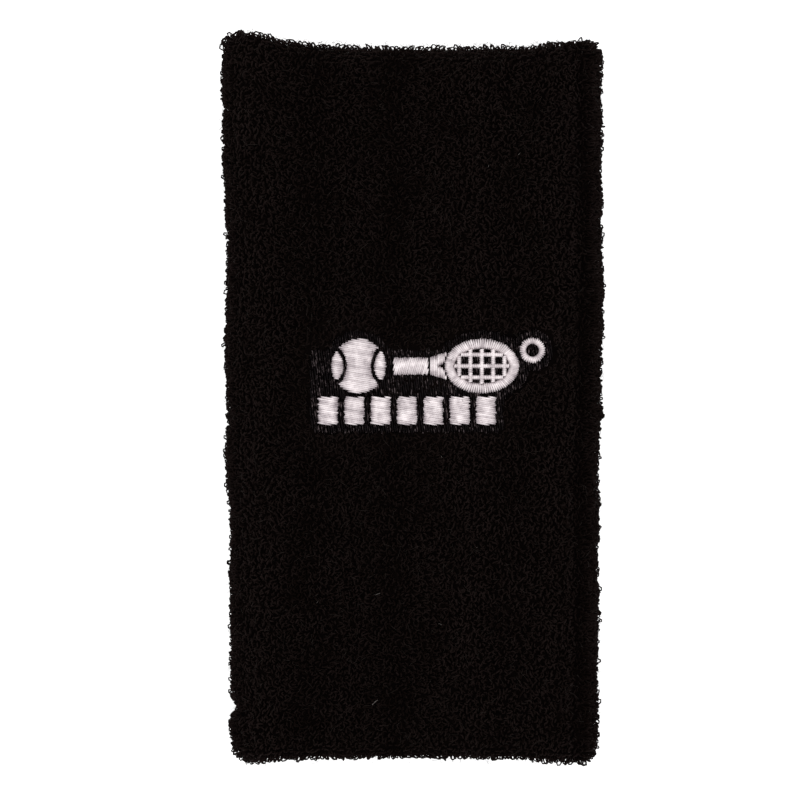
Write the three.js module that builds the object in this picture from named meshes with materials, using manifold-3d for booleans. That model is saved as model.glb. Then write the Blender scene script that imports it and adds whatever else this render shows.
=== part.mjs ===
// A long terry sweat wristband, lying flat as it comes out of a drawer.
// Millimetres, +Z up. The tube runs along Y with its hand end at +Y, the emblem faces up,
// and the origin is under the middle of the band, on the surface that it lies on.

import * as THREE from 'three';
import { mergeVertices } from 'three/addons/utils/BufferGeometryUtils.js';
import Module from 'manifold-3d';

const wasm = await Module();
wasm.setup();

// The band
const bandLength = 150; // hand end to elbow end, over both folds
const bandWidth = 78; // fold to fold
const passageHeight = 4.6; // what the two walls leave open for the wrist
const terryThickness = 2.0; // one layer of towelling: its ground and its loops
const foldStraight = 0.5; // each end fold is half-round, on this much straight cloth
const foldCrest = 0.6; // flat left at the crest of a fold
const clearance = 0.3; // gap between pieces that lie on each other

// What lies between the two layers of a wall
const elasticThickness = 0.6;
const elasticWidth = 2.4;
const elasticCourses = 12;
const elasticEndMargin = 5; // from the end of a sleeve to its first elastic course
const backingThickness = 0.3;
const bobbinThickness = 0.25;
const layerGap = backingThickness + elasticThickness + 3 * clearance;

// The seam that joins the two turned-in ends of the tube
const seamWidth = 2.6;
const seamThickness = 1.5;

// The embroidery
const emblemX = 3.8; // its middle, right of the band's middle
const emblemY = 4.1; // and towards the hand end
const pressedDepth = 0.9; // how far the stitching holds the loops down
const knockdownThickness = 0.3;
const knockdownMargin = 1.7; // the black fill shows this far round the emblem
const backingMargin = 3.5;
const satinHeight = 0.5;
const satinGap = 0.8; // black line between neighbouring shapes

// The emblem's upper row: a ball, then a racket with a small ring at its tip
const rowHeight = 11;
const rowIndent = 2.7; // the upper row starts this far in from the lower one
const ballSeamOffset = 7.4; // middle of each seam's circle, from the ball's middle
const ballSeamRadius = 4.6;
const headLength = 15;
const frameStitchWidth = 1.9;
const stringWidth = 0.7;
const stringPitch = 2.3;
const gripLength = 7;
const gripHeight = 3.4;
const throatLength = 3.4; // from the grip to the racket's head
const throatHeight = 6.6;
const throatStrut = 1.5;
const rowSpace = 1.6; // between the ball and the grip
const ringDiameter = 5;
const ringStitchWidth = 1.1;
const ringRise = 3.2; // the small ring's middle, above the racket's

// Its lower row: a border of plain blocks
const blockCount = 7;
const blockLength = 3.9;
const blockHeight = 5.6;
const blockSpace = 1.45;
const blockCorner = 0.6;
const rowsApart = 0.8; // between the two rows

// Values that follow from those above
const wall = 2 * terryThickness + layerGap;
const bandHeight = passageHeight + 2 * wall;
const foldRadius = (wall - foldCrest) / 2;
const foldLength = foldRadius + foldStraight;
const sleeveLength = bandLength - 2 * (foldLength + clearance);
const elasticDepth = terryThickness + layerGap - clearance - elasticThickness;
const pocketDepth = bobbinThickness + clearance; // room in the outer layer over the backing
const rowLength = rowHeight + rowSpace + gripLength + throatLength + headLength;
const borderLength = blockCount * blockLength + (blockCount - 1) * blockSpace;
const emblemLength = Math.max(borderLength, rowIndent + rowLength + clearance + ringDiameter);
const emblemHeight = rowHeight + rowsApart + blockHeight;
const rowStart = rowIndent - emblemLength / 2;
const rowMiddle = emblemHeight / 2 - rowHeight / 2; // height of the upper row's middle line
const borderMiddle = blockHeight / 2 - emblemHeight / 2;
const ballX = rowStart + rowHeight / 2;
const gripStart = rowStart + rowHeight + rowSpace;
const headX = rowStart + rowLength - headLength / 2;
const ringX = rowStart + rowLength + clearance + ringDiameter / 2;
const ringY = rowMiddle + ringRise;

// Materials
const cloth = (color, roughness) => new THREE.MeshStandardMaterial({ color, roughness, metalness: 0 });
const blackTerry = cloth('#12100f', 1);
const blackThread = cloth('#1b1a1b', 0.6);
const seamThread = cloth('#242021', 0.8);
const elastic = cloth('#3a3532', 0.7);
const whiteThread = cloth('#eceaf2', 0.45);
const bobbinThread = cloth('#cfcbc4', 0.7);
const backing = cloth('#dcdad2', 0.9);

// How finely the curves are cut into flats, and how far a cutting solid runs past what it cuts
const arcSteps = 8;
const foldSteps = 4;
const overshoot = 1;

// Solids for cutting and joining

function toSolid(geometry) {
  const bare = geometry.clone();
  bare.deleteAttribute('normal');
  bare.deleteAttribute('uv');
  const merged = mergeVertices(bare);
  return new wasm.Manifold(new wasm.Mesh({
    numProp: 3,
    vertProperties: new Float32Array(merged.attributes.position.array),
    triVerts: new Uint32Array(merged.index.array),
  }));
}

function toGeometry(solid) {
  const mesh = solid.getMesh();
  const geometry = new THREE.BufferGeometry();
  geometry.setAttribute('position', new THREE.BufferAttribute(mesh.vertProperties, 3));
  geometry.setIndex(new THREE.BufferAttribute(mesh.triVerts, 1));
  geometry.computeVertexNormals();
  return geometry;
}

// The tube's section: an outline with flat top and bottom and half-round sides,
// a given depth in from the loop tips. X is across the band and Y is up.
function section(depth, Outline = THREE.Shape) {
  const radius = bandHeight / 2 - depth;
  const reach = bandWidth / 2 - bandHeight / 2;
  const outline = new Outline();
  outline.moveTo(-reach, -radius);
  outline.lineTo(reach, -radius);
  outline.absarc(reach, 0, radius, -Math.PI / 2, Math.PI / 2, false);
  outline.lineTo(-reach, radius);
  outline.absarc(-reach, 0, radius, Math.PI / 2, 3 * Math.PI / 2, false);
  return outline;
}

function ringShape(depth, thickness) {
  const shape = section(depth);
  shape.holes.push(section(depth + thickness, THREE.Path));
  return shape;
}

// A stretch of tube between two depths, centred on its own length, which runs along Y
function tube(depth, thickness, length) {
  const geometry = new THREE.ExtrudeGeometry(ringShape(depth, thickness), {
    depth: length,
    bevelEnabled: false,
    curveSegments: arcSteps,
  });
  return geometry.translate(0, 0, -length / 2).rotateX(Math.PI / 2);
}

// The half-round edge where the cloth turns in, its rounded side towards +Y
function foldedEdge() {
  const whole = new THREE.ExtrudeGeometry(ringShape(foldRadius, foldCrest), {
    depth: 2 * foldStraight,
    bevelThickness: foldRadius,
    bevelSize: foldRadius,
    bevelSegments: foldSteps,
    curveSegments: arcSteps,
  });
  whole.translate(0, 0, -foldStraight).rotateX(Math.PI / 2);
  const halfSpace = new THREE.BoxGeometry(2 * bandWidth, 2 * foldLength, 2 * bandHeight);
  halfSpace.translate(0, -foldLength, 0);
  return toGeometry(toSolid(whole).subtract(toSolid(halfSpace)));
}

// Flat shapes of the embroidery, in the emblem's own X and Y

function plate(shape, bottom, thickness) {
  const geometry = new THREE.ExtrudeGeometry(shape, {
    depth: thickness,
    bevelEnabled: false,
    curveSegments: arcSteps,
  });
  return geometry.translate(0, 0, bottom);
}

// A solid of the same outline that runs past both faces of a satin-stitched shape
function cutter(shape) {
  return toSolid(plate(shape, -overshoot, satinHeight + 2 * overshoot));
}

function ellipse(x, y, radiusX, radiusY, Outline = THREE.Shape) {
  return new Outline().absellipse(x, y, radiusX, radiusY, 0, 2 * Math.PI);
}

function roundedBox(left, bottom, right, top, corner) {
  const shape = new THREE.Shape();
  shape.moveTo(left + corner, bottom);
  shape.lineTo(right - corner, bottom);
  shape.absarc(right - corner, bottom + corner, corner, -Math.PI / 2, 0);
  shape.lineTo(right, top - corner);
  shape.absarc(right - corner, top - corner, corner, 0, Math.PI / 2);
  shape.lineTo(left + corner, top);
  shape.absarc(left + corner, top - corner, corner, Math.PI / 2, Math.PI);
  shape.lineTo(left, bottom + corner);
  shape.absarc(left + corner, bottom + corner, corner, Math.PI, 3 * Math.PI / 2);
  return shape;
}

// The area round the emblem, grown by a margin: under the border and the grip, the ball,
// the racket's head and the small ring
function emblemArea(margin, bottom, thickness) {
  const left = -emblemLength / 2 - margin;
  const shapes = [
    roundedBox(left, -emblemHeight / 2 - margin, left + borderLength + 2 * margin,
      rowMiddle + gripHeight / 2 + margin, margin),
    ellipse(ballX, rowMiddle, rowHeight / 2 + margin, rowHeight / 2 + margin),
    ellipse(headX, rowMiddle, headLength / 2 + margin, rowHeight / 2 + margin),
    ellipse(ringX, ringY, ringDiameter / 2 + margin, ringDiameter / 2 + margin),
  ];
  return shapes.map((shape) => toSolid(plate(shape, bottom, thickness))).reduce((a, b) => a.add(b));
}

// Builders for each kind of piece

function outerSleeve() {
  const toBand = (solid) => solid.translate([emblemX, emblemY, bandHeight / 2]);
  const pressed = emblemArea(knockdownMargin + clearance, -pressedDepth, pressedDepth + overshoot);
  const pocket = emblemArea(backingMargin + clearance, -terryThickness - overshoot,
    pocketDepth + overshoot);
  const sleeve = toSolid(tube(0, terryThickness, sleeveLength));
  return toGeometry(sleeve.subtract(toBand(pressed)).subtract(toBand(pocket)));
}

function ballPiece(part) {
  const ball = toSolid(plate(ellipse(ballX, rowMiddle, rowHeight / 2, rowHeight / 2), 0, satinHeight));
  const seamCircle = (side, radius) =>
    cutter(ellipse(ballX + side * ballSeamOffset, rowMiddle, radius, radius));
  if (part === 'middle') {
    const outside = ballSeamRadius + satinGap / 2;
    return toGeometry(ball.subtract(seamCircle(-1, outside)).subtract(seamCircle(1, outside)));
  }
  return toGeometry(ball.intersect(seamCircle(part === 'left' ? -1 : 1, ballSeamRadius - satinGap / 2)));
}

function racketFrame() {
  const frame = ellipse(headX, rowMiddle, headLength / 2, rowHeight / 2);
  frame.holes.push(ellipse(headX, rowMiddle, headLength / 2 - frameStitchWidth,
    rowHeight / 2 - frameStitchWidth, THREE.Path));
  return plate(frame, 0, satinHeight);
}

// Evenly spaced crossing strings, cut to the face of the racket
function racketStrings() {
  const inset = frameStitchWidth + clearance;
  const reachX = headLength / 2 - inset;
  const reachY = rowHeight / 2 - inset;
  const strings = [];
  const addStrings = (reach, width, length, stepX, stepY) => {
    const pairs = Math.floor((reach - stringWidth) / stringPitch);
    for (let i = -pairs; i <= pairs; i += 1) {
      const string = new THREE.BoxGeometry(width, length, 2 * satinHeight);
      strings.push(toSolid(string.translate(headX + i * stepX, rowMiddle + i * stepY, satinHeight / 2)));
    }
  };
  addStrings(reachX, stringWidth, rowHeight, stringPitch, 0);
  addStrings(reachY, headLength, stringWidth, 0, stringPitch);
  const face = toSolid(plate(ellipse(headX, rowMiddle, reachX, reachY), 0, satinHeight));
  return toGeometry(strings.reduce((a, b) => a.add(b)).intersect(face));
}

// Two struts that spread from the grip to the racket's head, with an open triangle between them
function racketThroat() {
  const start = gripStart + gripLength + clearance;
  const outline = new THREE.Shape();
  outline.moveTo(start, rowMiddle - gripHeight / 2);
  outline.lineTo(headX, rowMiddle - throatHeight / 2 - throatStrut);
  outline.lineTo(headX, rowMiddle + throatHeight / 2 + throatStrut);
  outline.lineTo(start, rowMiddle + gripHeight / 2);
  outline.closePath();
  const opening = new THREE.Shape();
  opening.moveTo(start + throatStrut, rowMiddle);
  opening.lineTo(headX, rowMiddle - throatHeight / 2);
  opening.lineTo(headX, rowMiddle + throatHeight / 2);
  opening.closePath();
  const head = ellipse(headX, rowMiddle, headLength / 2 + clearance, rowHeight / 2 + clearance);
  const throat = toSolid(plate(outline, 0, satinHeight))
    .subtract(cutter(opening))
    .subtract(cutter(head));
  return toGeometry(throat);
}

function racketGrip() {
  const corner = gripHeight / 4;
  return plate(roundedBox(gripStart, rowMiddle - gripHeight / 2, gripStart + gripLength,
    rowMiddle + gripHeight / 2, corner), 0, satinHeight);
}

function smallRing() {
  const ring = ellipse(ringX, ringY, ringDiameter / 2, ringDiameter / 2);
  const inner = ringDiameter / 2 - ringStitchWidth;
  ring.holes.push(ellipse(ringX, ringY, inner, inner, THREE.Path));
  return plate(ring, 0, satinHeight);
}

function borderBlock(index) {
  const left = -emblemLength / 2 + index * (blockLength + blockSpace);
  return plate(roundedBox(left, borderMiddle - blockHeight / 2, left + blockLength,
    borderMiddle + blockHeight / 2, blockCorner), 0, satinHeight);
}

// Assembly

const band = new THREE.Group();
band.position.z = bandHeight / 2;

function addPiece(parent, name, geometry, material, y = 0) {
  const mesh = new THREE.Mesh(geometry, material);
  mesh.name = name;
  mesh.position.y = y;
  parent.add(mesh);
  return mesh;
}

// The knitted tube: the outer length, the two edges where it turns in, and its two inner halves
addPiece(band, 'outer_sleeve', outerSleeve(), blackTerry);
const foldY = sleeveLength / 2 + clearance;
addPiece(band, 'hand_end_fold', foldedEdge(), blackTerry, foldY);
const elbowEndFold = addPiece(band, 'elbow_end_fold', foldedEdge(), blackTerry, -foldY);
elbowEndFold.rotation.z = Math.PI;

const innerDepth = terryThickness + layerGap;
const innerLength = sleeveLength / 2 - seamWidth / 2 - clearance;
const innerMiddle = (sleeveLength - innerLength) / 2;
const innerHalf = tube(innerDepth, terryThickness, innerLength);
addPiece(band, 'inner_sleeve_hand_half', innerHalf, blackTerry, innerMiddle);
addPiece(band, 'inner_sleeve_elbow_half', innerHalf.clone(), blackTerry, -innerMiddle);

// The linked seam lies flush with the ground of the inner halves
addPiece(band, 'closing_seam', tube(innerDepth, seamThickness, seamWidth), seamThread);

// The elastic courses lie round the inner halves, evenly spaced, none of them over the seam
const elasticSpan = sleeveLength - 2 * elasticEndMargin - elasticWidth;
for (let i = 0; i < elasticCourses; i += 1) {
  const y = elasticSpan * (i / (elasticCourses - 1) - 0.5);
  const name = `elastic_course_${String(i + 1).padStart(2, '0')}`;
  addPiece(band, name, tube(elasticDepth, elasticThickness, elasticWidth), elastic, y);
}

// The embroidery, with Z measured from the loop tips of the upper face
const embroidery = new THREE.Group();
embroidery.position.set(emblemX, emblemY, bandHeight / 2);
band.add(embroidery);

const backingTop = -terryThickness + pocketDepth - clearance;
const bobbinTop = backingTop - backingThickness - clearance;
const knockdownBottom = -pressedDepth + clearance;
addPiece(embroidery, 'embroidery_backing',
  toGeometry(emblemArea(backingMargin, backingTop - backingThickness, backingThickness)), backing);
addPiece(embroidery, 'bobbin_stitching',
  toGeometry(emblemArea(knockdownMargin, bobbinTop - bobbinThickness, bobbinThickness)), bobbinThread);
addPiece(embroidery, 'knockdown_stitching',
  toGeometry(emblemArea(knockdownMargin, knockdownBottom, knockdownThickness)), blackThread);

const emblem = new THREE.Group();
emblem.position.z = knockdownBottom + knockdownThickness + clearance;
embroidery.add(emblem);
for (const part of ['left', 'middle', 'right']) {
  addPiece(emblem, `ball_${part}`, ballPiece(part), whiteThread);
}
addPiece(emblem, 'racket_grip', racketGrip(), whiteThread);
addPiece(emblem, 'racket_throat', racketThroat(), whiteThread);
addPiece(emblem, 'racket_frame', racketFrame(), whiteThread);
addPiece(emblem, 'racket_strings', racketStrings(), whiteThread);
addPiece(emblem, 'small_ring', smallRing(), whiteThread);
for (let i = 0; i < blockCount; i += 1) {
  addPiece(emblem, `border_block_${i + 1}`, borderBlock(i), whiteThread);
}

const wristband = new THREE.Group();
wristband.add(band);

export default wristband;
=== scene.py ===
# A long sweat wristband of black towelling, laid flat. It is one knitted tube turned in on itself,
# with covered elastic between its two layers and a ball-and-racket emblem stitched on its upper face.
# The band lies along Y with its hand end towards +Y, and its emblem faces up.
import math

import bpy
import numpy as np
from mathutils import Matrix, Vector


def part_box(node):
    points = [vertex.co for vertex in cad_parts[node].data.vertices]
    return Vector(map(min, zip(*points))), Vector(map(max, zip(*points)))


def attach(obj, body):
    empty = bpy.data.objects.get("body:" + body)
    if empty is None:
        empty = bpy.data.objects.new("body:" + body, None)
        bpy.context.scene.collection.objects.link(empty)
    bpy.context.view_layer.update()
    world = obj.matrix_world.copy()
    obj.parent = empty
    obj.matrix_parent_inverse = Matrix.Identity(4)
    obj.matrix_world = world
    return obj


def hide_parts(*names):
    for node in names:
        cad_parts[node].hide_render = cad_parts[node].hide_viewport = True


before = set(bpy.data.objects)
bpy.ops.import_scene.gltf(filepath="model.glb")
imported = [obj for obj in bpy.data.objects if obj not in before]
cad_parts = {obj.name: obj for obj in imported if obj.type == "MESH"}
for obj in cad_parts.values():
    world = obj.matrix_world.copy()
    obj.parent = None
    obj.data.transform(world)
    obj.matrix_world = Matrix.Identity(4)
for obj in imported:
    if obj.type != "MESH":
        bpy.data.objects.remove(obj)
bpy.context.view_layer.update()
mm = 0.001

# ------------------------------
# The course of the cloth
# The whole band is one knitted tube. Its wales run the length of the band, out along the outer
# face, round the hand end, back along the inner face and round the elbow end to where they began.
# Laid flat, it has settled a little: drawn in between its corners and creased beside its sides.

terry_thickness = 2.0 * mm
ground_depth = 1.4 * mm  # from the tips of the loops to the ground cloth that they are rooted in

sleeve_low, sleeve_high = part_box("outer_sleeve")
fold_low, fold_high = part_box("hand_end_fold")
inner_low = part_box("inner_sleeve_hand_half")[0]
half_width = sleeve_high.x
half_length = fold_high.y
half_height = (sleeve_high.z - sleeve_low.z) / 2
middle_height = (sleeve_high.z + sleeve_low.z) / 2
flat_reach = half_width - half_height  # half the width of the flat faces
straight_reach = fold_low.y  # where the folds start
half_wall = (inner_low.z - sleeve_low.z + terry_thickness) / 2  # a wall is two layers and the elastic
fold_stretch = (fold_high.y - straight_reach) / half_wall  # 1 where a fold is a plain half circle

side_radius = half_height - ground_depth
fold_radius = half_wall - ground_depth
girth = 2 * (2 * flat_reach + math.pi * side_radius)
outer_way = 2 * straight_reach
fold_way = math.pi * fold_radius
whole_way = 2 * (outer_way + fold_way)


def ease(value, start, end):
    """Goes smoothly from 0 at start to 1 at end."""
    share = np.clip((value - start) / (end - start), 0, 1)
    return share * share * (3 - 2 * share)


def hump(value, middle, spread):
    """A smooth hump of height 1 round the middle."""
    return np.exp(-(((value - middle) / spread) ** 2))


def drift(x, y, spacing, seed):
    """A smooth random field from about -1 to 1, with its humps about one spacing apart."""
    waves = np.random.default_rng(seed)
    total = 0
    wave_count = 7
    usual_peak = 3  # seven waves seldom add up to more than this
    for _ in range(wave_count):
        turn, phase = waves.uniform(0, 2 * math.pi, 2)
        length = spacing * waves.uniform(0.7, 1.7)
        total = total + np.sin((x * math.cos(turn) + y * math.sin(turn)) * 2 * math.pi / length + phase)
    return total / usual_peak


def round_oval(way, flat, radius):
    """Where a way round a long oval lies: its half, its place along the flat and its turn round the end."""
    half = flat + math.pi * radius
    side = np.where(np.mod(way, 2 * half) < half, 1.0, -1.0)
    rest = np.mod(way, half)
    return side, np.minimum(rest, flat) - flat / 2, np.clip((rest - flat) / radius, 0, math.pi)


def on_tube(around, along, depth):
    """Points under the loop tips, with the directions across the wales, along them and out of the cloth."""
    face, place, turn = round_oval(along, outer_way, fold_radius)
    reach = half_wall - depth
    y = face * (place + reach * fold_stretch * np.sin(turn))
    radius = half_height - half_wall + face * reach * np.cos(turn)
    side, across, bend = round_oval(around, 2 * flat_reach, side_radius)
    x = side * (across + radius * np.sin(bend))
    z = middle_height + side * radius * np.cos(bend)
    nothing = np.zeros_like(x)
    outward = np.stack([side * np.sin(bend), nothing, side * np.cos(bend)], -1)
    ahead = np.stack([nothing, nothing + 1, nothing], -1)
    out = face[..., None] * (np.cos(turn)[..., None] * outward + np.sin(turn)[..., None] * ahead)
    across_way = np.stack([side * np.cos(bend), nothing, -side * np.sin(bend)], -1)
    return np.stack([x, y, z], -1), across_way, np.cross(out, across_way), out


# How far each side lies inside the even tube, in mm: at its middle, what the hand end adds, and the
# curve between; then humps along it, each with its height, middle and spread
left_side, left_humps = (0.26, -1.15, 0.29), [(0.7, 31, 12), (0.5, -31, 9)]
right_side, right_humps = (0.06, -0.55, 0.15), [(-0.5, 20, 14), (0.3, -25, 8)]
left_nick = [(0.9, -63.2, 1.5), (-0.7, -67.6, 2.2)]
# How far each end is drawn in, in mm, and where it comes out again towards its corners: each step has
# its height, where it starts and where it is full, measured from the middle
hand_drawn_in = 2.55
hand_left_steps = [(1.65, 8, 25), (2.1, 24, 33)]
hand_right_steps = [(0.35, 10, 26), (1.8, 22, 36)]
elbow_drawn_in = 1.6
elbow_steps = [(0.9, 25, 36)]  # the same on both sides
elbow_right_steps = [(0.4, 19, 27)]
elbow_humps = [(-0.3, -6, 8)]
# The creases in the upper wall, in mm, each with its depth, place across the band and spread
creases = [(1.05, 34, 1.3), (0.45, -36, 1.2)]
inner_share = 0.35  # how much of all this the inner layer follows


def humps(value, rows):
    """Several humps together, from rows of height, middle and spread in mm."""
    return sum(height * mm * hump(value, middle * mm, spread * mm) for height, middle, spread in rows)


def steps_up(value, rows):
    """Several smooth steps together, from rows of height, start and end in mm."""
    return sum(height * mm * ease(value, start * mm, end * mm) for height, start, end in rows)


def bowed(up, line):
    """A slightly bowed line, from its value at the middle, its slope and its bow in mm."""
    at_middle, slope, bow = line
    return (at_middle + slope * up + bow * up ** 2) * mm


def settle(points):
    """Shapes points of the even tube as this band lies: full for the outer layer, slight for the inner."""
    x, y, z = points[..., 0], points[..., 1], points[..., 2]
    from_core = np.hypot(np.maximum(np.abs(x) - flat_reach, 0), z - middle_height)
    in_outer_layer = ease(from_core, half_height - 4.4 * mm, half_height - 2.2 * mm)
    share = inner_share + (1 - inner_share) * in_outer_layer
    edge = ease(np.abs(x), 27 * mm, half_width)
    end = ease(np.abs(y), 38 * mm, half_length)

    # The band narrows towards the elbow end, mostly on its left, which has one nick near the corner
    up = y / half_length
    left_in = bowed(up, left_side) + humps(y, left_humps)
    right_in = bowed(up, right_side) + humps(y, right_humps)
    ripple = 0.16 * mm * drift(y, 0 * y, 15 * mm, 3) + 0.12 * mm * drift(y, 0 * y, 5 * mm, 4)
    moved_in = np.where(x < 0, left_in, right_in) * np.abs(x) / half_width
    moved_in = moved_in + edge * np.where(x < 0, humps(y, left_nick) + ripple, -ripple)

    # Both ends are drawn in between their corners, and the hand end's left corner stands out most
    hand_pull = steps_up(-x, hand_left_steps) + steps_up(x, hand_right_steps) - hand_drawn_in * mm
    elbow_pull = steps_up(np.abs(x), elbow_steps) + steps_up(x, elbow_right_steps)
    elbow_pull = elbow_pull + humps(x, elbow_humps) - elbow_drawn_in * mm
    lip = 0.14 * mm * drift(x, 0 * x, 11 * mm, 5)
    moved_out = end * (np.where(y > 0, hand_pull, elbow_pull) + lip)

    # The upper wall waves slightly and has a crease along each side, the deeper one on the right
    upper = ease(z, middle_height, middle_height + 4 * mm)
    crease = humps(x, creases)
    wave = 0.28 * mm * drift(x, y, 31 * mm, 6)
    return np.stack([
        x - np.sign(x) * share * moved_in,
        y + np.sign(y) * share * moved_out,
        z + share * upper * (wave - crease),
    ], -1)


def pressed_on_floor(points):
    """Flattens what would reach below the floor, as the band's weight does."""
    give = 0.3 * mm  # the height that the lowest loops are pressed into
    z = points[..., 2]
    low = give * np.exp((np.minimum(z, give) - give) / give)
    return np.stack([points[..., 0], points[..., 1], np.where(z < give, low, z)], -1)


# ------------------------------
# The emblem's outline
# The cloth rises a little over the stiff backing sheet behind the emblem, and no loop stands where
# the emblem is stitched. Its rows are a ball and a racket over a border of plain blocks.

knockdown_margin = 1.7 * mm
backing_margin = 3.5 * mm
backing_rise = 0.58 * mm  # how far the backing lifts the ground cloth
rise_margin = backing_margin + 0.5 * mm  # the lift is full as far out as this
rise_slope = 4 * mm  # and falls away over this width
upper_wall_from, upper_wall_to = middle_height + 4.5 * mm, middle_height + 6 * mm


def middle_and_reach(low, high):
    """The middle of a box, and half its width and depth."""
    return (low.x + high.x) / 2, (low.y + high.y) / 2, (high.x - low.x) / 2, (high.y - low.y) / 2


border_names = [f"border_block_{i + 1}" for i in range(7)]
border_low, border_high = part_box(border_names[0])[0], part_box(border_names[-1])[1]
grip_low, grip_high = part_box("racket_grip")
ball_low, ball_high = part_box("ball_left")[0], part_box("ball_right")[1]
ball_x, _, ball_radius, _ = middle_and_reach(ball_low, ball_high)
row_y = middle_and_reach(*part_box("ball_middle"))[1]
head_x, _, head_reach_x, head_reach_y = middle_and_reach(*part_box("racket_frame"))
ring_x, ring_y, ring_radius, _ = middle_and_reach(*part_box("small_ring"))
panel_x, panel_y, panel_reach_x, panel_reach_y = middle_and_reach(
    border_low, Vector((border_high.x, grip_high.y, 0)))


def from_emblem(x, y):
    """How far a point is outside the emblem's rows, and below zero inside them."""
    panel = np.maximum(np.abs(x - panel_x) - panel_reach_x, np.abs(y - panel_y) - panel_reach_y)
    corner = np.hypot(np.maximum(np.abs(x - panel_x) - panel_reach_x, 0),
                      np.maximum(np.abs(y - panel_y) - panel_reach_y, 0))
    panel = np.where(corner > 0, corner, panel)
    ball = np.hypot(x - ball_x, y - row_y) - ball_radius
    oval = np.hypot((x - head_x) / head_reach_x, (y - row_y) / head_reach_y)
    head = (oval - 1) * head_reach_y
    ring = np.hypot(x - ring_x, y - ring_y) - ring_radius
    return np.minimum(np.minimum(panel, ball), np.minimum(head, ring))


def over_backing(points):
    """Lifts points of the upper wall over the backing sheet."""
    x, y, z = points[..., 0], points[..., 1], points[..., 2]
    rise = backing_rise * (1 - ease(from_emblem(x, y), rise_margin, rise_margin + rise_slope))
    return np.stack([x, y, z + rise * ease(z, upper_wall_from, upper_wall_to)], -1)


# ------------------------------
# The ground cloth
# The knitted ground that the loops are rooted in: black cotton over fine elastane, about 0.6 mm
# thick. It hardly shows, as a dark weave between the loops. Its two ends meet at the closing seam.

ground_thickness = 0.55 * mm
ground_top = ground_depth - 0.05 * mm  # its depth under the tips of the loops
knit_relief = 0.07 * mm  # how uneven its upper side is
grid_step = 1.4 * mm  # between the points of its mesh
cloth_gap = 0.1 * mm  # between its lengths, which touch on the real band


def linear(hex_colour):
    """An sRGB hex colour as linear red, green, blue and alpha."""
    parts = [int(hex_colour[i:i + 2], 16) / 255 for i in (1, 3, 5)]
    return (*[c / 12.92 if c <= 0.04045 else ((c + 0.055) / 1.055) ** 2.4 for c in parts], 1.0)


def add(tree, kind, links=None, into=None, stops=(), **settings):
    """Adds a node with its settings and a ramp's stops, and links its inputs and the shader's."""
    made = tree.nodes.new("ShaderNode" + kind)
    for key, value in settings.items():
        if hasattr(made, key):
            setattr(made, key, value)
        else:
            made.inputs[key.replace("_", " ")].default_value = value
    while stops and len(made.color_ramp.elements) < len(stops):
        made.color_ramp.elements.new(0.5)
    for number, (position, hex_colour) in enumerate(stops):
        made.color_ramp.elements[number].position = position
        made.color_ramp.elements[number].color = linear(hex_colour)
    for key, output in (links or {}).items():
        tree.links.new(output, made.inputs[key])
    if into:
        tree.links.new(made.outputs[0], tree.nodes["Principled BSDF"].inputs[into])
    return made


def new_material(name, **settings):
    """A material with its shader's plain settings, then its node tree and its coordinates."""
    material = bpy.data.materials.new(name)
    material.use_nodes = True
    shader = material.node_tree.nodes["Principled BSDF"]
    for key, value in settings.items():
        shader.inputs[key.replace("_", " ")].default_value = value
    return material, material.node_tree, add(material.node_tree, "TexCoord").outputs["Object"]


def mesh_object(name, vertices, faces, fitted=None, tone=None):
    """A smooth mesh from arrays of points and of faces, with its map and each point's lightness."""
    mesh = bpy.data.meshes.new(name)
    mesh.vertices.add(len(vertices))
    mesh.vertices.foreach_set("co", np.ascontiguousarray(vertices, np.float32).ravel())
    corners = np.concatenate([group.ravel() for group in faces]).astype(np.int32)
    counts = np.concatenate([np.full(len(group), group.shape[1]) for group in faces])
    mesh.loops.add(len(corners))
    mesh.loops.foreach_set("vertex_index", corners)
    mesh.polygons.add(len(counts))
    mesh.polygons.foreach_set("loop_start", (np.cumsum(counts) - counts).astype(np.int32))
    mesh.polygons.foreach_set("use_smooth", np.ones(len(counts), bool))
    if fitted is not None:
        layer = mesh.uv_layers.new(name="OFBake")
        layer.uv.foreach_set("vector", np.ascontiguousarray(fitted, np.float32).ravel())
    if tone is not None:
        mesh.attributes.new("tone", "FLOAT", "POINT").data.foreach_set("value", tone.astype(np.float32))
    mesh.update(calc_edges=True)
    made = bpy.data.objects.new(name, mesh)
    bpy.context.scene.collection.objects.link(made)
    return made


def place(piece, material, slot, *nodes):
    """Gives a piece its material and its place on the band, and hides the CAD nodes that it stands for."""
    piece.data.materials.append(material)
    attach(piece, "root")
    if nodes:
        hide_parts(*nodes)
    return piece


def ground_cloth(name, start, end):
    """A closed ring of cloth between two places along the wales."""
    rings = round((end - start) / grid_step) + 1
    columns = round(girth / grid_step)
    around, along = np.meshgrid(np.arange(columns) * girth / columns, np.linspace(start, end, rings))
    fine = knit_relief * drift(around, along, 3.1 * mm, 8)
    top = over_backing(on_tube(around, along, ground_top + fine)[0])
    under = over_backing(on_tube(around, along, ground_top + ground_thickness)[0])
    vertices = settle(np.concatenate([top.reshape(-1, 3), under.reshape(-1, 3)]))
    count = rings * columns
    index = np.arange(count).reshape(rings, columns)
    right = np.roll(index, -1, axis=1)
    upper = np.stack([index[:-1], right[:-1], right[1:], index[1:]], -1).reshape(-1, 4)
    lower = upper[:, ::-1] + count
    first = np.stack([index[0] + count, right[0] + count, right[0], index[0]], -1)
    last = np.stack([index[-1], right[-1], right[-1] + count, index[-1] + count], -1)
    return mesh_object(name, vertices, [upper, lower, first, last])


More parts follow.
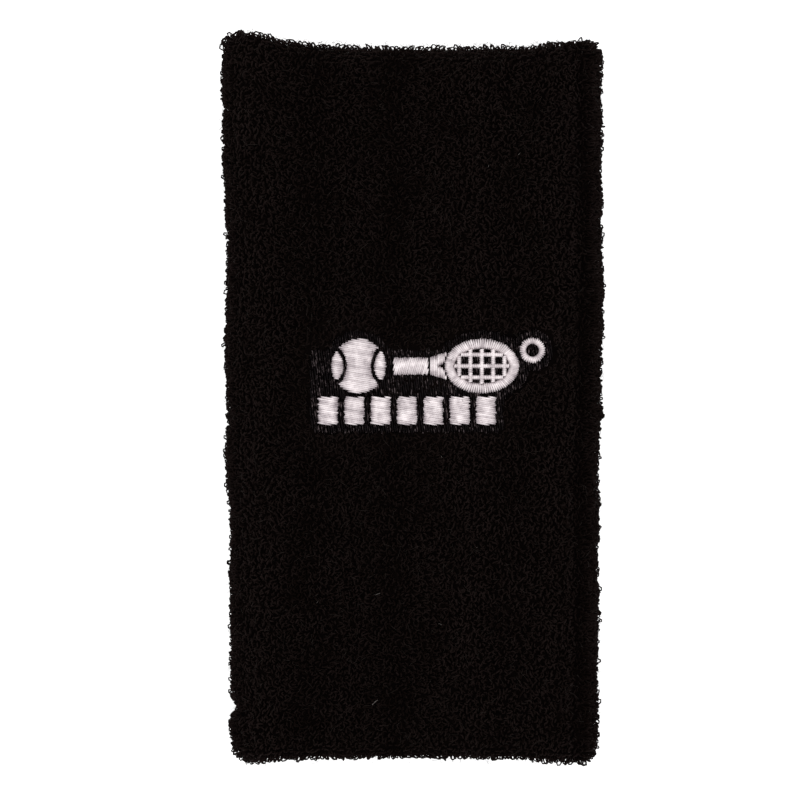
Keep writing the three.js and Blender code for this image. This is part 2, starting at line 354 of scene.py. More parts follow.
# Black cotton jersey, knitted: matt, with a faint grid of stitches that shows between the loops
cotton_ground, tree, coordinates = new_material(
    "knitted cotton ground", Roughness=0.95, Specular_IOR_Level=0.0)
mottle = add(tree, "TexNoise", {"Vector": coordinates}, Scale=1 / (2.5 * mm), Detail=4.0, Roughness=0.6)
add(tree, "ValToRGB", {"Fac": mottle.outputs["Fac"]}, "Base Color",
    stops=[(0.3, "#060404"), (0.7, "#0c0807")])
stitches = add(tree, "TexVoronoi", {"Vector": coordinates}, Scale=1 / (0.9 * mm))
add(tree, "Bump", {"Height": stitches.outputs["Distance"]}, "Normal", Strength=0.6, Distance=0.3 * mm)

fold_end = outer_way + fold_way
outer_cloth = place(
    ground_cloth("outer_cloth", -fold_way, fold_end),
    cotton_ground, "black_terry", "outer_sleeve", "hand_end_fold", "elbow_end_fold")
seam_low, seam_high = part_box("closing_seam")
inner_middle = fold_end + outer_way / 2
half_seam = (seam_high.y - seam_low.y) / 2
inner_hand_cloth = place(
    ground_cloth("inner_cloth_hand_half", fold_end + cloth_gap, inner_middle - half_seam),
    cotton_ground, "black_terry", "inner_sleeve_hand_half")
inner_elbow_cloth = place(
    ground_cloth("inner_cloth_elbow_half", inner_middle + half_seam, whole_way - fold_way - cloth_gap),
    cotton_ground, "black_terry", "inner_sleeve_elbow_half")

# ------------------------------
# The pile
# Loops of soft cotton yarn, about 0.33 mm thick, one in every stitch of the ground. Most stand 0.9 to
# 1.6 mm high, each leaning and coiled its own way, and they fan out round the ends. The pile parts
# along the creases and down the middle. Painted light and shade makes it lighter or darker in strips
# along the band: darker over the partings and the right crease, lighter between them.

yarn_radius = 0.166 * mm
yarn_sides = 4
loop_points = 8  # along each loop's yarn
loop_height, lowest_loop, highest_loop = 1.22 * mm, 0.7 * mm, 1.7 * mm
height_spread, patch_height, streak_height, rib_height = 0.18 * mm, 0.13 * mm, 0.07 * mm, 0.1 * mm
narrowest_loop, widest_loop = 0.34 * mm, 0.6 * mm
proud_share, proud_height, proud_width = 0.1, 1.25, 1.2  # how many loops stand proud, and how much
usual_lean = 0.45 * mm
turn_spread, twist_spread = 0.45, 0.95  # how far a loop's feet and its top turn off its wale
open_turn = 0.93 * math.pi  # each half of a loop is nearly half a circle, so its feet stay apart
yarn_wobble = 0.045 * mm
# root_shade: how much painted shade darkens each loop towards its root
patch_tone, streak_tone, tone_spread, root_shade = 0.09, 0.09, 0.04, 0.08
root_depth = ground_depth + 0.1 * mm  # each loop starts just inside the ground cloth
root_scatter = 0.13 * mm
wale_count = 204  # loops round the band
wale_width = girth / wale_count
course_height = 0.81 * mm
fold_courses = 5  # round each fold
inside_courses = 15  # how far in from each mouth the loops are made; further in it is too dark to see
most_loops = 3250  # in one piece
clear_margin = knockdown_margin + 0.45 * mm  # no loop stands nearer to the emblem than this
# Each parting's place across the band, its spread, and how far the loops beside it lean away
partings = [(34.2 * mm, 1.3 * mm, 0.95 * mm), (-36 * mm, 1.2 * mm, 0.55 * mm),
            (-3.5 * mm, 5 * mm, 0.6 * mm), (-20 * mm, 4 * mm, 0.5 * mm), (19 * mm, 4 * mm, 0.3 * mm)]
# Painted light and shade: each strip's place across the band, its spread, and how much lighter its
# yarn is painted. The darker strips lie over the partings and the right crease, where the pile is shaded.
painted_light_strips = [(-33 * mm, 5 * mm, 0.15), (-21.5 * mm, 4 * mm, -0.08), (-3.5 * mm, 3.5 * mm, -0.15),
          (12 * mm, 4.5 * mm, 0.1), (28.8 * mm, 3 * mm, 0.12), (34.4 * mm, 1.6 * mm, -0.16)]
draw = np.random.default_rng(1207)


def tubes(paths, radius, side_on, sides, flatten=1.0):
    """Round threads with closed ends along paths, each with its own patch of the map."""
    count, steps, _ = paths.shape
    ahead = np.gradient(paths, axis=1)
    ahead /= np.linalg.norm(ahead, axis=2, keepdims=True)
    across = np.cross(ahead, side_on[:, None, :])
    across /= np.maximum(np.linalg.norm(across, axis=2, keepdims=True), 1e-9)
    up = np.cross(ahead, across)
    angle = 2 * math.pi * np.arange(sides) / sides
    vertices = paths[:, :, None, :] + radius * (
        np.cos(angle)[:, None] * across[:, :, None, :]
        + flatten * np.sin(angle)[:, None] * up[:, :, None, :])
    index = np.arange(count * steps * sides).reshape(count, steps, sides)
    beside = np.roll(index, -1, axis=2)
    skin = np.stack([index[:, :-1], index[:, 1:], beside[:, 1:], beside[:, :-1]], -1)
    caps = [index[:, 0], index[:, -1, ::-1]]

    # The map: one square cell for each thread, with its skin unrolled in the middle and a small disc
    # for each end in the strips below and above
    side_rim, end_strip = 0.05, 0.1
    across_count = math.ceil(math.sqrt(count))
    cell = np.stack([np.arange(count) % across_count, np.arange(count) // across_count], -1)
    share_round = (np.arange(sides)[None, :, None] + np.array([0, 0, 1, 1])) / sides
    share_along = (np.arange(steps - 1)[:, None, None] + np.array([0, 1, 1, 0])) / (steps - 1)
    u = side_rim + (1 - 2 * side_rim) * share_round
    v = end_strip + (1 - 2 * end_strip) * share_along
    unrolled = np.stack(np.broadcast_arrays(u, v), -1)
    disc = np.stack([0.04 * np.cos(angle), 0.03 * np.sin(angle)], -1)
    ends = [disc + (0.5, end_strip / 2), disc[::-1] + (0.5, 1 - end_strip / 2)]
    skin_map = (cell[:, None, None, None, :] + unrolled[None]) / across_count
    end_maps = [(cell[:, None, :] + end[None]) / across_count for end in ends]
    fitted = np.concatenate([part.reshape(-1, 2) for part in [skin_map, *end_maps]])
    return vertices.reshape(-1, 3), [skin.reshape(-1, 4), *caps], fitted


def parted(x):
    """How far the partings push the tip of a loop across the band."""
    push = 0
    for middle, spread, strength in partings:
        off = (x - middle) / spread
        push = push + strength * off * np.exp(0.5 - 0.5 * off ** 2)
    return push


def loop_paths(around, along):
    """The line of each loop's yarn, up from the ground, over in a curl and down again, and its tone with
    painted light and shade.
    """
    count = len(around)
    face, _, _ = round_oval(along, outer_way, fold_radius)
    even_root, across, ahead, out = on_tube(around, along, np.full(count, root_depth))
    root = over_backing(even_root)
    lifted = root[:, 2] - even_root[:, 2]

    # The pile varies in broad patches, in streaks and from wale to wale
    patch = drift(root[:, 0] + 2 * root[:, 2], root[:, 1], 9 * mm, 21)
    row = np.round(around / wale_width).astype(int) % wale_count
    ribbing = np.random.default_rng(5).normal(0, rib_height, wale_count)[row]
    streak = drift(3.4 * around, 0.8 * along, 3.4 * mm, 31)
    at_fold = ease(np.abs(root[:, 1]), straight_reach - 2 * mm, straight_reach + 1 * mm)
    at_corner = ease(np.abs(root[:, 0]), 22 * mm, 31 * mm)

    # Loops are shorter where the backing lifts them, inside the mouths and along the folds, and a few
    # stand proud, most of them at the corners
    height = loop_height + patch_height * patch + streak_height * streak + ribbing - 0.6 * lifted
    height = height + draw.normal(0, height_spread, count)
    height = np.clip(height, lowest_loop, highest_loop) * np.where(face < 0, 0.9, 1.0)
    height = height * (1 - 0.3 * at_fold * (1 - at_corner))
    width = draw.uniform(narrowest_loop, widest_loop, count)
    proud = draw.random(count) < proud_share + 0.3 * at_corner * at_fold
    height = np.where(proud, proud_height * height, height)
    width = np.where(proud, (proud_width + 0.5 * at_corner * at_fold) * width, width)

    # Each loop leans its own way and off the partings, faces nearly along its wale, and is twisted
    lean = draw.gamma(3.0, usual_lean / 3.0, count) * (1 - 0.5 * at_fold)
    lean_way = draw.uniform(0, 2 * math.pi, count) + 0.8 * patch
    push = parted(root[:, 0]) * np.sign(across[:, 0] + 1e-9)
    yaw = draw.normal(math.pi / 2, turn_spread, count) * (1 - 0.8 * at_fold)
    twist = draw.normal(0, twist_spread, count) * np.where(proud, 0.4, 1.0)
    sweep = np.linspace(-open_turn, open_turn, loop_points)
    rise = (1 + np.cos(sweep)) / 2
    turned = yaw[:, None] + twist[:, None] * rise
    half = width[:, None] * np.sin(sweep) * (0.55 + 0.45 * rise)
    leaning = rise ** 1.6
    over = lean[:, None] * leaning
    step_across = half * np.cos(turned) + over * np.cos(lean_way)[:, None] + push[:, None] * leaning
    step_ahead = half * np.sin(turned) + over * np.sin(lean_way)[:, None]
    wobble = draw.normal(0, yarn_wobble, (count, loop_points, 3))
    paths = (root[:, None, :] + step_across[..., None] * across[:, None, :]
             + step_ahead[..., None] * ahead[:, None, :]
             + (height[:, None] * rise)[..., None] * out[:, None, :] + wobble)
    side_on = -np.sin(yaw)[:, None] * across + np.cos(yaw)[:, None] * ahead

    # Only the upper face has the strips of painted light and shade
    painted_strip = sum(lighter * hump(root[:, 0], middle, spread) for middle, spread, lighter in painted_light_strips)
    painted_strip = painted_strip * ease(root[:, 2], middle_height, 2 * half_height - 3 * mm)
    loop_tone = painted_strip + streak_tone * streak + patch_tone * patch + draw.normal(0, tone_spread, count)
    # Painted shade: each loop is darker towards its root, where the pile around it shades it
    tone = loop_tone[:, None] + root_shade * (rise - 0.8)
    return paths, side_on, tone


# Spun black cotton yarn: matt, so each curl has only a soft, dull light on it, and slightly hairy, so
# that its sides are nearly as light. Its "tone" says which loops are lighter, at random and in the
# strips of painted light and shade, and darkens each loop towards its root as painted shade.
cotton_yarn, tree, coordinates = new_material(
    "spun cotton yarn", Roughness=0.75, Specular_IOR_Level=0.02, Specular_Tint=linear("#ffd8cc"),
    Sheen_Weight=0.007, Sheen_Roughness=0.6, Sheen_Tint=linear("#ffd8cc"))
mottle = add(tree, "TexNoise", {"Vector": coordinates}, Scale=1 / (1.3 * mm), Detail=3.0, Roughness=0.65)
own_tone = add(tree, "Attribute", attribute_name="tone")
both = add(tree, "Math", {0: mottle.outputs["Fac"], 1: own_tone.outputs["Fac"]}, operation="ADD")
add(tree, "ValToRGB", {"Fac": both.outputs[0]}, "Base Color",
    stops=[(0.25, "#0a0605"), (0.5, "#120d0c"), (0.75, "#181211")])
fibres = add(tree, "TexNoise", {"Vector": coordinates}, Scale=1 / (0.22 * mm), Detail=2.0)
add(tree, "Bump", {"Height": fibres.outputs["Fac"]}, "Normal", Strength=0.5, Distance=0.06 * mm)

course_count = round(outer_way / course_height)
wale = np.arange(wale_count)


def stand_loops(name, wales, first, last, courses, node):
    """Stands a loop in each stitch between two places along the wales, and splits them into pieces."""
    step = (last - first) / courses
    row, course = np.meshgrid(wales, np.arange(courses), indexing="ij")
    around = (row + 0.5 + 0.5 * (course % 2)).ravel() * wale_width
    along = first + (course + 0.5).ravel() * step
    around = around + draw.normal(0, root_scatter, around.size)
    along = along + draw.normal(0, root_scatter, along.size)
    root = on_tube(around, along, np.zeros(around.size))[0]
    upper = root[:, 2] > middle_height + half_height / 2
    clear = ~upper | (from_emblem(root[:, 0], root[:, 1]) > clear_margin)
    around, along = around[clear], along[clear]
    order = np.argsort(along, kind="stable")
    around, along = around[order], along[order]
    pieces = []
    parts = math.ceil(len(around) / most_loops)
    for part, members in enumerate(np.array_split(np.arange(len(around)), parts)):
        paths, side_on, tone = loop_paths(around[members], along[members])
        vertices, faces, fitted = tubes(paths, yarn_radius, side_on, yarn_sides)
        vertices = pressed_on_floor(settle(vertices))
        label = f"{name}_{part + 1}" if parts > 1 else name
        loops = mesh_object(label, vertices, faces, fitted, np.repeat(tone.ravel(), yarn_sides))
        pieces.append(place(loops, cotton_yarn, "black_terry", node))
    return pieces


flat_wales = round(2 * flat_reach / wale_width)
side_wales = wale_count // 2 - flat_wales
top_wales = wale[:flat_wales]
right_wales = wale[flat_wales:flat_wales + side_wales]
under_wales = wale[flat_wales + side_wales:2 * flat_wales + side_wales]
left_wales = wale[2 * flat_wales + side_wales:]

outer_pile = []
for name, wales in [("upper_loops", top_wales), ("right_side_loops", right_wales),
                    ("under_loops", under_wales), ("left_side_loops", left_wales)]:
    outer_pile += stand_loops(name, wales, 0, outer_way, course_count, "outer_sleeve")
outer_pile += stand_loops("hand_end_loops", wale, outer_way, fold_end, fold_courses, "hand_end_fold")
outer_pile += stand_loops("elbow_end_loops", wale, whole_way - fold_way, whole_way, fold_courses,
                          "elbow_end_fold")
inside_way = inside_courses * course_height
hand_pile = stand_loops("inner_loops_hand_half", wale, fold_end, fold_end + inside_way,
                        inside_courses, "inner_sleeve_hand_half")
elbow_pile = stand_loops("inner_loops_elbow_half", wale, whole_way - fold_way - inside_way,
                         whole_way - fold_way, inside_courses, "inner_sleeve_elbow_half")

# ------------------------------
# The closing seam
# The tube's two ends meet halfway along the inner layer, linked loop by loop with black thread.
# The stitches lie over the joint inside the band.

seam_thread_radius = 0.2 * mm
seam_points = 9  # along each stitch
seam_overlap = 1.15  # how far a stitch reaches past the joint, as a share of the seam's half width
seam_lean = 0.35 * wale_width  # how far each stitch slants, to each side of its middle
seam_rise = 0.55 * mm  # how far it stands over the cloth
thread_sides = 6
thread_flatness = 0.85  # a laid thread is a little wider than it is high


def laid_threads(name, starts, ends, level, top, radius, steps=12, dome=4.0):
    """Threads laid from hole to hole, each out of the cloth, over and down. A high dome is flat-topped."""
    share = (1 - np.cos(np.linspace(0, math.pi, steps))) / 2
    flat = starts[:, None, :] + (ends - starts)[:, None, :] * share[None, :, None]
    height = level + (top - level) * (1 - np.abs(2 * share - 1) ** dome)
    lift = draw.uniform(-0.02 * mm, 0.02 * mm, len(starts))
    paths = np.concatenate([flat, (height + lift[:, None])[..., None]], -1)
    side_on = np.tile([0.0, 0.0, 1.0], (len(starts), 1))
    vertices, faces, fitted = tubes(paths, radius, side_on, thread_sides, thread_flatness)

    # Each thread has its own tone, and painted shade makes it darker at its two ends, where it turns down
    # into the cloth
    tone = draw.normal(0.05, 0.06, len(starts))[:, None] - 0.4 * np.abs(2 * share - 1) ** 4
    return mesh_object(name, vertices, faces, fitted, np.repeat(tone.ravel(), thread_sides))


# Spun polyester sewing thread: black, smoother than the cotton, with a low even gloss
seam_thread, tree, coordinates = new_material(
    "black sewing thread", Roughness=0.55, Specular_IOR_Level=0.2)
mottle = add(tree, "TexNoise", {"Vector": coordinates}, Scale=1 / (0.8 * mm), Detail=3.0)
add(tree, "ValToRGB", {"Fac": mottle.outputs["Fac"]}, "Base Color",
    stops=[(0.3, "#141112"), (0.7, "#221e1f")])
plies = add(tree, "TexWave", {"Vector": coordinates}, Scale=1 / (1.2 * mm), Distortion=1.0)
add(tree, "Bump", {"Height": plies.outputs["Fac"]}, "Normal", Strength=0.4, Distance=0.05 * mm)

share = np.linspace(-1, 1, seam_points)[None, :]
each_wale = np.ones((wale_count, 1))
seam_around = (wale[:, None] + 0.5) * wale_width + seam_lean * share
seam_along = inner_middle + seam_overlap * half_seam * share * each_wale
seam_depth = ground_depth - seam_rise * (1 - share ** 4) * each_wale
seam_line, seam_across, _, _ = on_tube(seam_around, seam_along, seam_depth)
vertices, faces, fitted = tubes(
    seam_line, seam_thread_radius, seam_across[:, seam_points // 2], thread_sides)
place(mesh_object("closing_seam_stitches", settle(vertices), faces, fitted),
      seam_thread, "seam_thread", "closing_seam")

# ------------------------------
# The elastic
# Twelve flat courses of rubber covered with braided polyester lie between the two layers. They keep
# their CAD shape and hold the band to the wrist; none of them shows from outside.

# Braided polyester over rubber: dark grey, with a fine diagonal rib
covered_elastic, tree, coordinates = new_material(
    "braided elastic", Roughness=0.7, Specular_IOR_Level=0.2)
braid = add(tree, "TexWave", {"Vector": coordinates}, Scale=1 / (3.0 * mm), Distortion=0.6, Detail=1.0)
braid.bands_direction = "DIAGONAL"
add(tree, "ValToRGB", {"Fac": braid.outputs["Fac"]}, "Base Color",
    stops=[(0.2, "#2b2725"), (0.8, "#45403c")])
add(tree, "Bump", {"Height": braid.outputs["Fac"]}, "Normal", Strength=0.5, Distance=0.1 * mm)

for name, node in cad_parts.items():
    if name.startswith("elastic_course"):
        node.data.materials.clear()
        node.data.materials.append(covered_elastic)

# ------------------------------
# The embroidery's backing and bobbin stitches
# A sheet of stiff nonwoven behind the outer layer carries the emblem, and the bobbin's white thread
# lies under it. Both are shut in between the two layers.

# Nonwoven polyester: off-white pressed fibres, matt and a little cloudy
nonwoven, tree, coordinates = new_material(
    "nonwoven backing", Roughness=0.9, Specular_IOR_Level=0.2)
cloud = add(tree, "TexNoise", {"Vector": coordinates}, Scale=1 / (2 * mm), Detail=6.0, Roughness=0.7)
add(tree, "ValToRGB", {"Fac": cloud.outputs["Fac"]}, "Base Color",
    stops=[(0.3, "#cfccc3"), (0.7, "#e4e2da")])
add(tree, "Bump", {"Height": cloud.outputs["Fac"]}, "Normal", Strength=0.4, Distance=0.05 * mm)

# Bobbin thread: thin off-white spun polyester in close parallel rows
bobbin, tree, coordinates = new_material(
    "bobbin thread", Roughness=0.7, Specular_IOR_Level=0.3)
rows = add(tree, "TexWave", {"Vector": coordinates}, Scale=1 / (2.5 * mm), Distortion=0.8, Detail=2.0)
rows.bands_direction = "X"
add(tree, "ValToRGB", {"Fac": rows.outputs["Fac"]}, "Base Color",
    stops=[(0.2, "#b3afa8"), (0.7, "#d6d2cb")])
add(tree, "Bump", {"Height": rows.outputs["Fac"]}, "Normal", Strength=0.6, Distance=0.1 * mm)

for name, finish in [("embroidery_backing", nonwoven), ("bobbin_stitching", bobbin)]:
    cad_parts[name].data.materials.clear()
    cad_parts[name].data.materials.append(finish)

# ------------------------------
# The knockdown stitching
# Rows of long black stitches press the pile flat where the emblem lies and just beyond it. They run
# nearly up and down the band, a little apart, and each turns down into the cloth at its ends.

knockdown_pitch = 0.46 * mm
knockdown_radius = 0.17 * mm
knockdown_lean = math.radians(97)
knockdown_uneven = 0.3 * mm  # how far each row's ends may lie off the edge
longest_knockdown = 3.0 * mm
knockdown_points = 8  # along each stitch
shortest_stitch = 0.4 * mm
shortest_leftover = 0.5 * mm  # a row isn't cut again nearer to its end than this


def rows_across(inside, low, high, pitch, turn, uneven):
    """The two ends of each parallel stitch that crosses a shape, with the stitches at an angle."""
    sampling = 0.05 * mm
    way = np.array([math.cos(turn), math.sin(turn)])
    beside = np.array([-way[1], way[0]])
    middle = np.array([(low[0] + high[0]) / 2, (low[1] + high[1]) / 2])
    reach = math.hypot(high[0] - low[0], high[1] - low[1]) / 2 + pitch
    steps = np.linspace(-reach, reach, round(2 * reach / sampling))
    starts, ends = [], []
    for row in np.arange(-reach, reach, pitch):
        offset = row + draw.uniform(-0.06, 0.06) * pitch
        line = middle + offset * beside + steps[:, None] * way
        within = np.concatenate([[0], inside(line[:, 0], line[:, 1]).astype(int), [0]])
        change = np.diff(within)
        for begin, stop in zip(np.flatnonzero(change == 1), np.flatnonzero(change == -1) - 1):
            if steps[stop] - steps[begin] > shortest_stitch:
                first = steps[begin] + draw.uniform(-uneven, uneven)
                last = steps[stop] + draw.uniform(-uneven, uneven)
                starts.append(middle + offset * beside + first * way)
                ends.append(middle + offset * beside + last * way)
    return np.array(starts), np.array(ends)


def cut_up(starts, ends, longest):
    """Divides long rows into stitches that follow one another."""
    new_starts, new_ends = [], []
    for start, end in zip(starts, ends):
        length = np.linalg.norm(end - start)
        places = [0.0]
        reach = draw.uniform(0.3, 1.0) * longest
        while reach < length - shortest_leftover:
            places.append(reach / length)
            reach += longest * draw.uniform(0.75, 1.1)
        places.append(1.0)
        for here, there in zip(places[:-1], places[1:]):
            shift = draw.normal(0, 0.05 * mm, 2)  # no two stitches of a row lie quite in line
            new_starts.append(start + (end - start) * here + shift)
            new_ends.append(start + (end - start) * there + shift)
    return np.array(new_starts), np.array(new_ends)


# Trilobal polyester embroidery thread, dyed black: the thin flecks of light off its flat sides are painted
# into its colour as pale streaks
black_thread, tree, coordinates = new_material(
    "black embroidery thread", Roughness=0.35, Specular_IOR_Level=0.04)
drawn_out = add(tree, "Mapping", {"Vector": coordinates}, Scale=(1, 0.3, 1))
painted_glints = add(tree, "TexNoise", {"Vector": drawn_out.outputs["Vector"]}, Scale=1 / (0.35 * mm), Detail=2.0)
# Painted highlights: the ramp's pale top stop paints the flecks of light
add(tree, "ValToRGB", {"Fac": painted_glints.outputs["Fac"]}, "Base Color",
    stops=[(0.48, "#080506"), (0.58, "#161011"), (0.72, "#5a5051")])
filaments = add(tree, "TexNoise", {"Vector": coordinates}, Scale=1 / (0.25 * mm), Detail=2.0)
add(tree, "Bump", {"Height": filaments.outputs["Fac"]}, "Normal", Strength=0.7, Distance=0.06 * mm)

pressed_low, pressed_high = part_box("knockdown_stitching")
starts, ends = rows_across(lambda x, y: from_emblem(x, y) < knockdown_margin, pressed_low, pressed_high,
                           knockdown_pitch, knockdown_lean, knockdown_uneven)
starts, ends = cut_up(starts, ends, longest_knockdown)
place(laid_threads("knockdown_threads", starts, ends, pressed_low.z - 0.25 * mm,
                   pressed_high.z - 0.05 * mm, knockdown_radius, knockdown_points),
      black_thread, "black_embroidery_thread", "knockdown_stitching")

# ------------------------------
# The satin stitches
# The white shapes are each filled from edge to edge with close parallel stitches of glossy thread.
# The racket's frame and the small ring are sewn round, with every stitch square to the curve.

satin_pitch = 0.37 * mm
satin_radius = 0.2 * mm
satin_dome = 2.6  # satin stitches are rounder over than the knockdown ones
satin_uneven, block_uneven = 0.09 * mm, 0.15 * mm  # how far their ends may lie off the edge
ball_seam_offset = 7.4 * mm  # from the ball's middle to that of the circle that each seam follows
ball_seam_radius = 4.6 * mm
half_gap = 0.4 * mm  # on each side of a seam
frame_width = 1.9 * mm
frame_gap = 0.1 * mm  # between the strings and the frame
string_width = 0.7 * mm
string_pitch = 2.3 * mm
throat_half_height = 3.3 * mm  # of the throat's opening, where it meets the head
strut_width = 1.5 * mm
ring_width = 1.1 * mm
satin_low, satin_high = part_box("racket_grip")
satin_under = satin_low.z - 0.45 * mm
satin_top = satin_high.z - 0.12 * mm

# Trilobal polyester embroidery thread, white with a faint rose cast. Its "tone" paints shade on each
# stitch: bright along the top, and greyer where the stitch turns down into the cloth
white_thread, tree, coordinates = new_material(
    "white embroidery thread", Roughness=0.38, Specular_IOR_Level=0.4, Sheen_Weight=0.05)
mottle = add(tree, "TexNoise", {"Vector": coordinates}, Scale=1 / (1.6 * mm), Detail=2.0)
own_tone = add(tree, "Attribute", attribute_name="tone")
both = add(tree, "Math", {0: mottle.outputs["Fac"], 1: own_tone.outputs["Fac"]}, operation="ADD")
add(tree, "ValToRGB", {"Fac": both.outputs[0]}, "Base Color",
    stops=[(0.15, "#9c9195"), (0.5, "#d1c7c9"), (0.75, "#f1e8e9")])
filaments = add(tree, "TexNoise", {"Vector": coordinates}, Scale=1 / (0.2 * mm), Detail=2.0)
add(tree, "Bump", {"Height": filaments.outputs["Fac"]}, "Normal", Strength=0.4, Distance=0.03 * mm)


def satin(node, starts, ends):
    """One white shape of laid stitches, in place of its CAD node."""
    stitches = laid_threads(
        node + "_satin", starts, ends, satin_under, satin_top, satin_radius, dome=satin_dome)
    place(stitches, white_thread, "white_embroidery_thread", node)


def round_stitches(x, y, reach_x, reach_y, width):
    """Stitches square to an oval, from its inner edge to its outer edge."""
    count = round(math.pi * (reach_x + reach_y - width) / satin_pitch)
    turns = np.arange(count) * 2 * math.pi / count
    outer_x = reach_x + draw.uniform(-satin_uneven, satin_uneven, turns.size)
    outer_y = reach_y + (outer_x - reach_x)
    starts = np.stack([x + (reach_x - width) * np.cos(turns), y + (reach_y - width) * np.sin(turns)], -1)
    ends = np.stack([x + outer_x * np.cos(turns), y + outer_y * np.sin(turns)], -1)
    return starts, ends


def in_circle(x, y, middle_x, radius):
    """Within a circle on the middle line of the ball and the racket."""
    return np.hypot(x - middle_x, y - row_y) < radius


def in_ball_side(x, y, side):
    """The part of the ball beyond the seam on its left (-1) or its right (1)."""
    return in_circle(x, y, ball_x, ball_radius) & in_circle(
        x, y, ball_x + side * ball_seam_offset, ball_seam_radius - half_gap)


def in_ball_middle(x, y):
    """The part of the ball between its two seams."""
    return (in_circle(x, y, ball_x, ball_radius)
            & ~in_circle(x, y, ball_x - ball_seam_offset, ball_seam_radius + half_gap)
            & ~in_circle(x, y, ball_x + ball_seam_offset, ball_seam_radius + half_gap))


throat_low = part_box("racket_throat")[0]
grip_half_height = (grip_high.y - grip_low.y) / 2


def in_grip(x, y):
    """The racket's plain straight grip."""
    return (np.abs(x - (grip_low.x + grip_high.x) / 2) < (grip_high.x - grip_low.x) / 2) & (
        np.abs(y - row_y) < grip_half_height)


def in_throat(x, y):
    """The two struts: between the throat's outline and the open triangle inside it."""
    along = (x - throat_low.x) / (head_x - throat_low.x)
    outline = grip_half_height + (throat_half_height + strut_width - grip_half_height) * along
    opening = throat_half_height * (x - throat_low.x - strut_width) / (head_x - throat_low.x - strut_width)
    head = np.hypot((x - head_x) / (head_reach_x + 0.3 * mm), (y - row_y) / (head_reach_y + 0.3 * mm))
    off_line = np.abs(y - row_y)
    return (along > 0) & (off_line < outline) & (off_line > opening) & (head > 1)


# How each filled shape's stitches lie: nearly level, steep or upright
level_row, steep_row, upright_row = math.radians(-9), math.radians(74), math.pi / 2
for node, inside, turn in [
        ("ball_left", lambda x, y: in_ball_side(x, y, -1), level_row),
        ("ball_middle", in_ball_middle, level_row),
        ("ball_right", lambda x, y: in_ball_side(x, y, 1), level_row),
        ("racket_grip", in_grip, steep_row),
        ("racket_throat", in_throat, upright_row)]:
    satin(node, *rows_across(inside, *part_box(node), satin_pitch, turn, satin_uneven))
satin("racket_frame", *round_stitches(head_x, row_y, head_reach_x, head_reach_y, frame_width))
satin("small_ring", *round_stitches(ring_x, ring_y, ring_radius, ring_radius, ring_width))

face_x = head_reach_x - frame_width - frame_gap
face_y = head_reach_y - frame_width - frame_gap


def string_stitches():
    """Narrow zigzag columns for the strings, up and across the racket's face."""
    starts, ends = [], []
    for reach, other, upright in [(face_x, face_y, True), (face_y, face_x, False)]:
        pairs = int((reach - string_width) / string_pitch)
        for i in range(-pairs, pairs + 1):
            half = other * math.sqrt(1 - (i * string_pitch / reach) ** 2)
            for here in np.arange(-half, half, satin_pitch):
                start = (i * string_pitch - string_width / 2, here)
                end = (i * string_pitch + string_width / 2, here + satin_pitch / 2)
                if not upright:
                    start, end = start[::-1], end[::-1]
                starts.append((head_x + start[0], row_y + start[1]))
                ends.append((head_x + end[0], row_y + end[1]))
    return np.array(starts), np.array(ends)


satin("racket_strings", *string_stitches())
for block in border_names:
    low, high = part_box(block)
    starts, ends = rows_across(
        lambda x, y: (x > low.x) & (x < high.x) & (y > low.y) & (y < high.y),
        low, high, satin_pitch, level_row, block_uneven)
    satin(block, starts, ends)

# ------------------------------
# Loose fibres
# Fine cotton hairs stand off the pile all over and blur its outline, and a few specks of pale lint
# have caught on the upper face.

hair_sides, hair_points = 3, 6
hair_depth = 0.5 * mm  # where they leave the loops, under the tips


def hairs(name, count, around, along, longest, radius):
    """Thin curved fibres that grow out of the pile."""
    root, across, ahead, out = on_tube(around, along, np.full(count, hair_depth))
    turn = draw.uniform(0, 2 * math.pi, count)[:, None]
    flat = np.cos(turn) * across + np.sin(turn) * ahead
    bend_turn = draw.uniform(0, 2 * math.pi, count)[:, None]
    bend = np.cos(bend_turn) * across + np.sin(bend_turn) * ahead - 0.3 * out
    length = (draw.uniform(0.35, 1.0, count) * longest)[:, None]
    rise = draw.uniform(0.35, 1.0, count)[:, None]
    share = np.linspace(0, 1, hair_points)
    paths = (root[:, None, :] + (length * (flat * (1 - rise) + out * rise))[:, None, :] * share[:, None]
             + (0.8 * length * bend)[:, None, :] * (share ** 2)[:, None])
    vertices, faces, fitted = tubes(paths, radius, np.cross(flat, out), hair_sides)
    return mesh_object(name, pressed_on_floor(settle(vertices)), faces, fitted)


# Single cotton fibres: too thin to hold a colour of their own, so they read as a faint haze
cotton_hair, tree, coordinates = new_material(
    "cotton fibres", Roughness=0.6, Specular_IOR_Level=0.1)
mottle = add(tree, "TexNoise", {"Vector": coordinates}, Scale=1 / (1 * mm), Detail=1.0)
add(tree, "ValToRGB", {"Fac": mottle.outputs["Fac"]}, "Base Color",
    stops=[(0.3, "#171311"), (0.7, "#2b2522")])

even_hairs = 4700
hand_end_hairs = 1500  # the fold at the hand end has the most
hair_count = even_hairs + hand_end_hairs
hair_radius = 0.026 * mm  # about three times as thick as a real fibre, so that it shows
longest_hair, longest_end_hair = 1.9 * mm, 1.3 * mm
hair_around = draw.uniform(0, girth, hair_count)
hair_along = np.concatenate([draw.uniform(-fold_way, fold_end, even_hairs),
                             draw.uniform(outer_way, fold_end, hand_end_hairs)])
hair_longest = np.where(np.arange(hair_count) < even_hairs, longest_hair, longest_end_hair)
place(hairs("loose_fibres", hair_count, hair_around, hair_along, hair_longest, hair_radius),
      cotton_hair, "black_terry", "outer_sleeve")

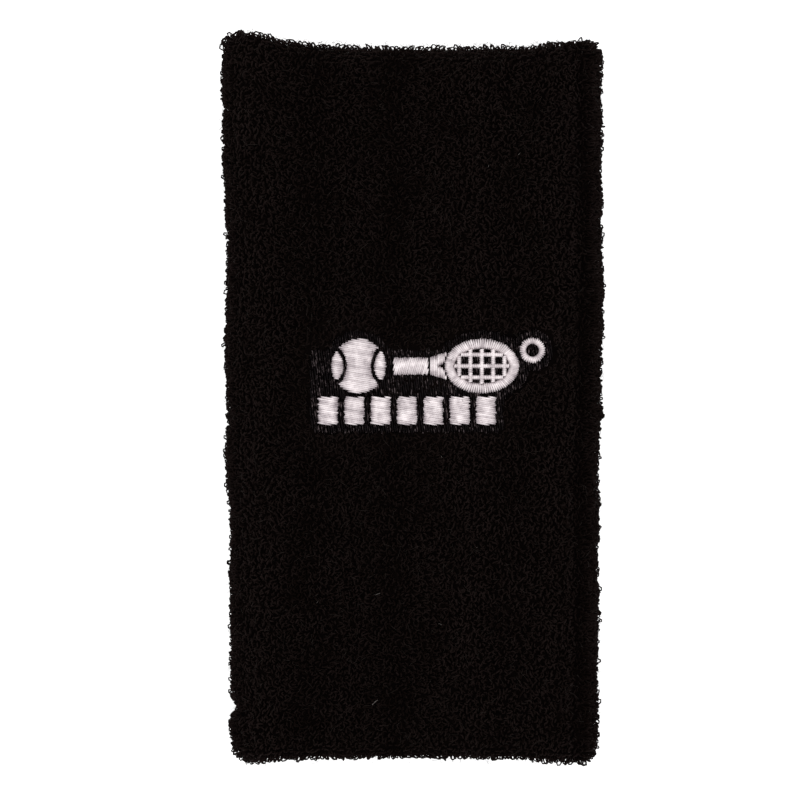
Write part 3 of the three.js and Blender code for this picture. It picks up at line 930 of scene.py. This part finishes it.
# Lint: short ends of pale fibre, seen as a few small grey specks
lint, tree, coordinates = new_material("pale lint", Roughness=0.9, Specular_IOR_Level=0.1)
mottle = add(tree, "TexNoise", {"Vector": coordinates}, Scale=1 / (0.5 * mm), Detail=1.0)
add(tree, "ValToRGB", {"Fac": mottle.outputs["Fac"]}, "Base Color",
    stops=[(0.3, "#4b4643"), (0.7, "#7a7572")])
lint_count = 11
lint_longest, lint_radius = 1.3 * mm, 0.04 * mm
lint_around = draw.uniform(4 * mm, 2 * flat_reach - 4 * mm, lint_count)
lint_along = draw.uniform(6 * mm, outer_way - 6 * mm, lint_count)
place(hairs("lint", lint_count, lint_around, lint_along, lint_longest, lint_radius),
      lint, "black_terry", "outer_sleeve")

# ------------------------------
# Floor, light and camera
# A plain white table that glows a little, in an evenly white room. A wide lamp overhead and a small,
# weaker one at the upper left give the curls of the pile their light and shade.

floor_mesh = bpy.data.meshes.new("floor")
floor_reach = 3.0
floor_mesh.from_pydata([(-floor_reach, -floor_reach, 0), (floor_reach, -floor_reach, 0),
                        (floor_reach, floor_reach, 0), (-floor_reach, floor_reach, 0)], [], [(0, 1, 2, 3)])
floor = bpy.data.objects.new("floor", floor_mesh)
bpy.context.scene.collection.objects.link(floor)
# Opal acrylic lit from below: it gives the eye nothing but white, with a faint shadow at the band
acrylic, tree, coordinates = new_material(
    "lit white acrylic", Roughness=0.8, Specular_IOR_Level=0.1, Emission_Color=(1, 1, 1, 1),
    Emission_Strength=0.42)
mottle = add(tree, "TexNoise", {"Vector": coordinates}, Scale=1 / (40 * mm), Detail=2.0)
add(tree, "ValToRGB", {"Fac": mottle.outputs["Fac"]}, "Base Color",
    stops=[(0.3, "#f9f9f9"), (0.7, "#fbfbfb")])
floor_mesh.materials.append(acrylic)

world = bpy.data.worlds.new("soft room")
world.use_nodes = True
background = world.node_tree.nodes["Background"]
background.inputs["Color"].default_value = (1, 1, 1, 1)
background.inputs["Strength"].default_value = 1.0
bpy.context.scene.world = world


def add_lamp(name, side, watts, location):
    """A square soft lamp that faces the band."""
    data = bpy.data.lights.new(name, "AREA")
    data.size = side
    data.energy = watts
    lamp = bpy.data.objects.new(name, data)
    lamp.location = location
    lamp.rotation_mode = "QUATERNION"
    lamp.rotation_quaternion = Vector(location).to_track_quat("Z", "Y")
    bpy.context.scene.collection.objects.link(lamp)


add_lamp("key", side=0.6, watts=2.5, location=(-0.9, 0.7, 1.2))
add_lamp("overhead", side=1.2, watts=5.5, location=(0.2, -0.1, 1.6))

# Straight down on the band, which lies a little right of the middle of the view
view_width = 1.102 * 2 * half_length
aim_x = -0.0335 * 2 * half_width
aim_y = 0.4 * mm
camera_data = bpy.data.cameras.new("camera")
camera_data.lens = 100
camera_data.sensor_width = 36
camera_data.clip_start = 0.01
camera = bpy.data.objects.new("camera", camera_data)
camera.location = (aim_x, aim_y, middle_height + view_width * camera_data.lens / camera_data.sensor_width)
bpy.context.scene.collection.objects.link(camera)
bpy.context.scene.camera = camera
bpy.context.scene.view_settings.view_transform = "Standard"
